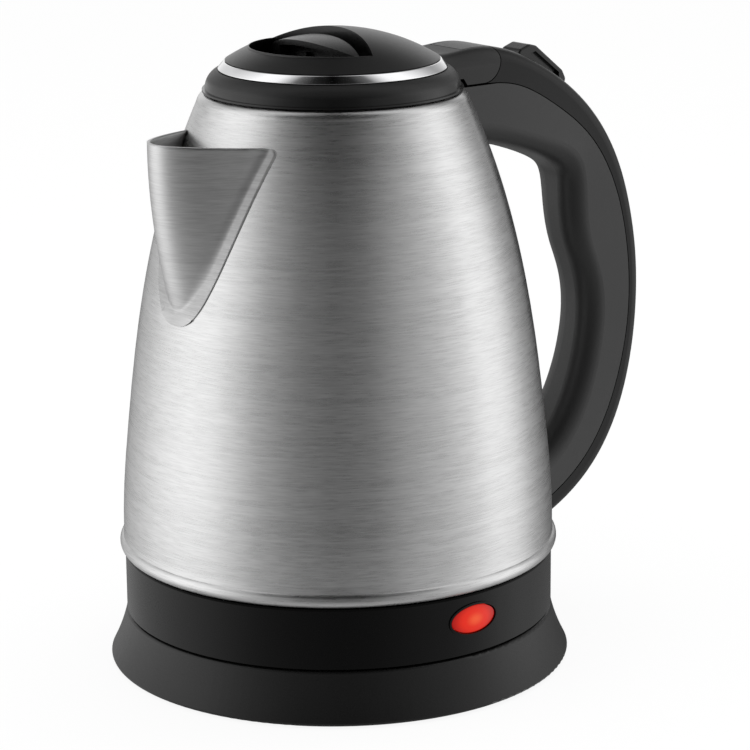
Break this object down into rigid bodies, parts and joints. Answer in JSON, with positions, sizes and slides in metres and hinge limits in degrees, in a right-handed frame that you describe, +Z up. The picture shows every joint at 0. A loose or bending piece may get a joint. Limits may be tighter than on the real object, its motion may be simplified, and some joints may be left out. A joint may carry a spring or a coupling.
{
  "type": "electric kettle",
  "caption": "Cordless electric kettle: brushed steel jug with a V spout, hinged black lid, loop handle with a rocker switch, pilot lamp and a round power base.",
  "frame": {"origin": "on the kettle's axis, at the level of the table under the rubber feet", "axes": "+Z up, +X towards the handle, -X towards the spout, -Y towards the pilot lamp"},
  "size_m": [0.2077, 0.156, 0.2134],
  "materials": {
    "black_moulding": "fine-textured satin black moulding",
    "lid_moulding": "satin black moulding with a glossier lower edge",
    "brushed_body": "stainless steel brushed round the body",
    "bright_trim": "polished trim ring",
    "inner_steel": "plain stainless sheet",
    "screw_steel": "zinc-plated screws and pin",
    "contact_brass": "brass contacts",
    "element_metal": "cast aluminium element",
    "lamp_red": "clear red lens",
    "neon_glass": "small glass lamp",
    "pale_plastic": "heat-proof moulding of the control parts",
    "soft_rubber": "rubber feet",
    "seal_silicone": "translucent silicone",
    "lead_cover": "lead insulation"
  },
  "bodies": {
    "power_base": {"base_skirt": "black_moulding", "base_plate": "black_moulding", "base_feet": "soft_rubber", "base_screws": "screw_steel", "base_socket": "black_moulding", "socket_contacts": "contact_brass", "cord_inlet_bush": "black_moulding"},
    "coupler": {"coupler_housing": "black_moulding", "coupler_contacts": "contact_brass"},
    "kettle": {"bottom_housing": "black_moulding", "housing_screws": "screw_steel", "lamp_lens": "lamp_red", "pilot_lamp": "neon_glass", "lamp_holder": "pale_plastic", "heating_plate": "inner_steel", "heating_element": "element_metal", "control_thermostat": "pale_plastic", "body_shell": "brushed_body", "spout": "brushed_body", "spout_filter": "inner_steel", "mouth_collar": "black_moulding", "handle_grip": "black_moulding", "handle_cover": "black_moulding", "upper_bracket": "inner_steel", "lower_bracket": "inner_steel", "handle_screws": "screw_steel", "hinge_pin": "screw_steel", "steam_switch": "pale_plastic", "switch_leads": "lead_cover"},
    "lid": {"lid_frame": "lid_moulding", "lid_trim_ring": "bright_trim", "lid_cap": "lid_moulding", "latch_spring": "screw_steel", "lid_liner": "black_moulding", "lid_seal": "seal_silicone", "lid_screws": "screw_steel"},
    "latch": {"lid_latch": "lid_moulding"},
    "rocker": {"switch_rocker": "black_moulding"}
  },
  "joints": [
    {"name": "lift_off", "type": "slide", "parent": "power_base", "child": "coupler", "axis": [0, 0, 1], "range_m": [0, 0.06]},
    {"name": "swivel", "type": "hinge", "parent": "coupler", "child": "kettle", "pos_m": [0, 0, 0.03], "axis": [0, 0, 1], "continuous": true},
    {"name": "lid_hinge", "type": "hinge", "parent": "kettle", "child": "lid", "pos_m": [0.0538, 0, 0.1982], "axis": [0, 1, 0], "range_deg": [0, 80]},
    {"name": "latch_slide", "type": "slide", "parent": "lid", "child": "latch", "axis": [1, 0, 0], "range_m": [0, 0.0035], "stiffness_N_per_m": 300, "springref_m": -0.003, "deforming": ["latch_spring"]},
    {"name": "rocker_tilt", "type": "hinge", "parent": "kettle", "child": "rocker", "pos_m": [0.0865, 0, 0.1864], "axis": [0, 1, 0], "range_deg": [0, 10]}
  ]
}
